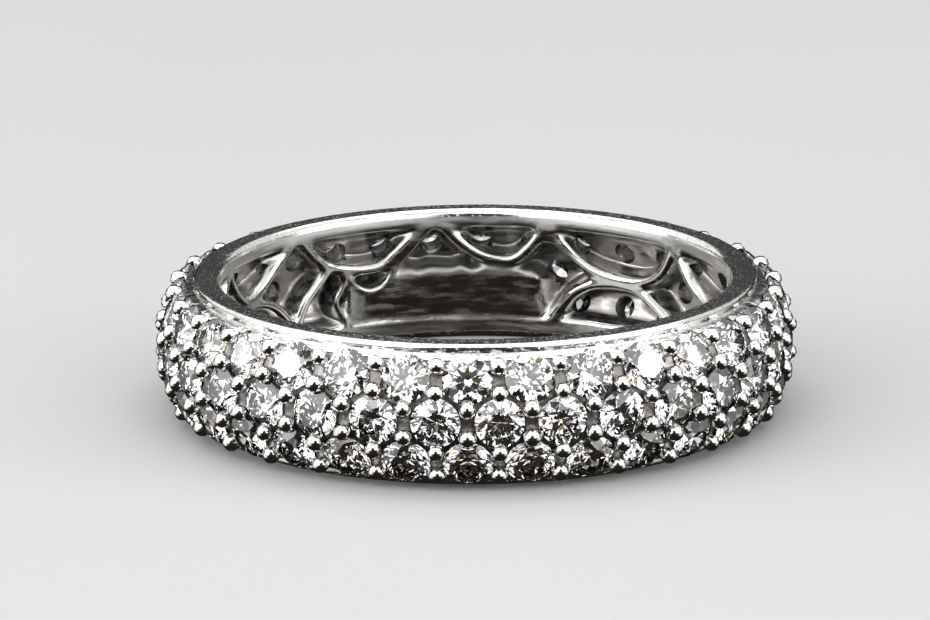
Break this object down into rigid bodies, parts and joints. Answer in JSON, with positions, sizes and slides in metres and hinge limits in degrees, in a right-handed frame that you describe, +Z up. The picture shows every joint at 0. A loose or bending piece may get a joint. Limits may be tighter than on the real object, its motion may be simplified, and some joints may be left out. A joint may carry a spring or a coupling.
{
  "type": "eternity ring",
  "caption": "Eternity ring: a domed white metal band set all round with rows of small round brilliants held by beads, with flat polished rims and an openwork gallery inside the finger hole.",
  "frame": {"origin": "centre of the finger hole in the plane of the lower rim face, on which the ring lies", "axes": "+Z up along the finger hole's axis, +X to the right and +Y away from the side that the picture shows in front"},
  "size_m": [0.0216, 0.0216, 0.0046],
  "materials": {
    "white_metal": "polished white gold with fine wear scratches on the flat rims",
    "stone": "clear, faceted and highly refractive"
  },
  "bodies": {
    "root": {"band": "white_metal", "edge_row_stones": "stone", "middle_row_stones": "stone"}
  },
  "joints": []
}
